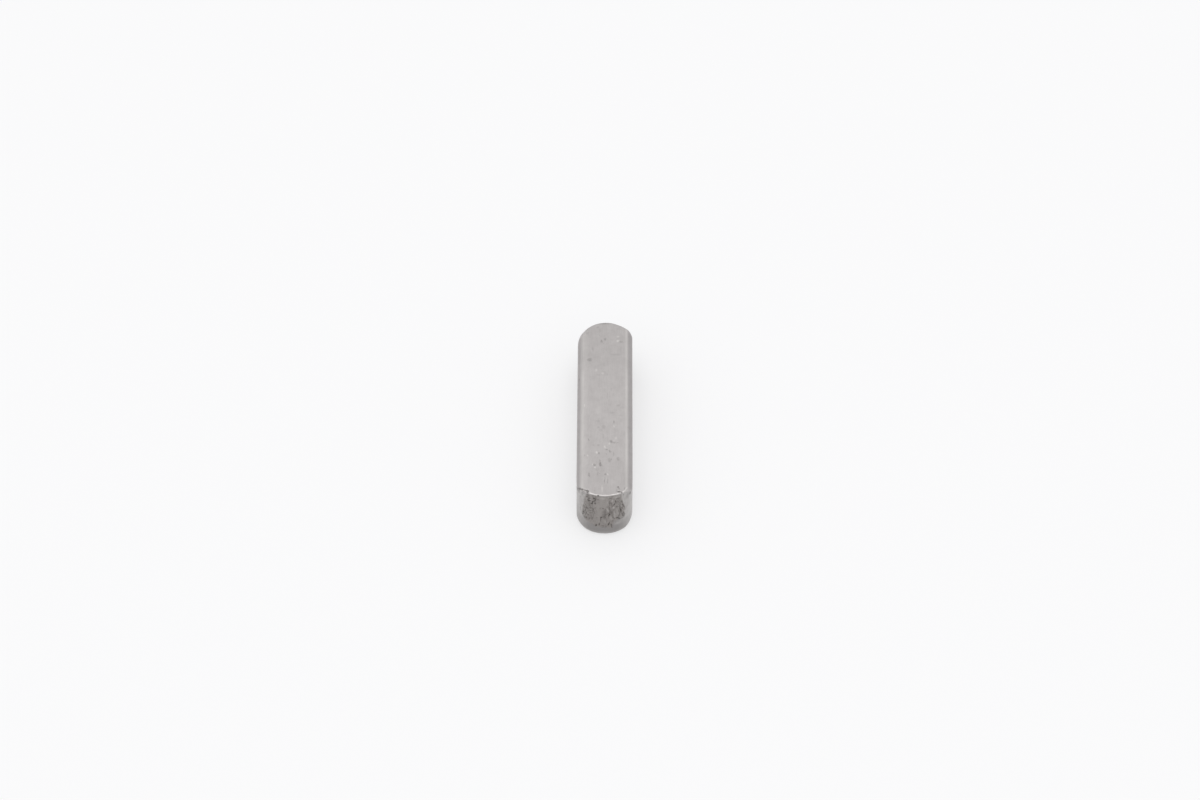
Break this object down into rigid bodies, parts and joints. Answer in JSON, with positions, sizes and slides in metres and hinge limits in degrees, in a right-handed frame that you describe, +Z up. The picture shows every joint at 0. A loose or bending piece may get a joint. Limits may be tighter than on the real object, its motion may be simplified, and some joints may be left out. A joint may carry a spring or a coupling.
{
  "type": "parallel key",
  "caption": "Square-section parallel key with rounded ends and broken long edges, lying flat; one end shows a torn cropping face.",
  "frame": {"origin": "centre of the bottom face, on the surface that the key lies on", "axes": "+Y along the length, towards the end with the plain rounded wall; +X across the width; +Z up, out of the top face"},
  "size_m": [0.006, 0.025, 0.006],
  "materials": {
    "key_steel": "cold-drawn key steel, tumbled after cropping, with a duller torn patch on the near end"
  },
  "bodies": {
    "root": {"key_body": "key_steel"}
  },
  "joints": []
}
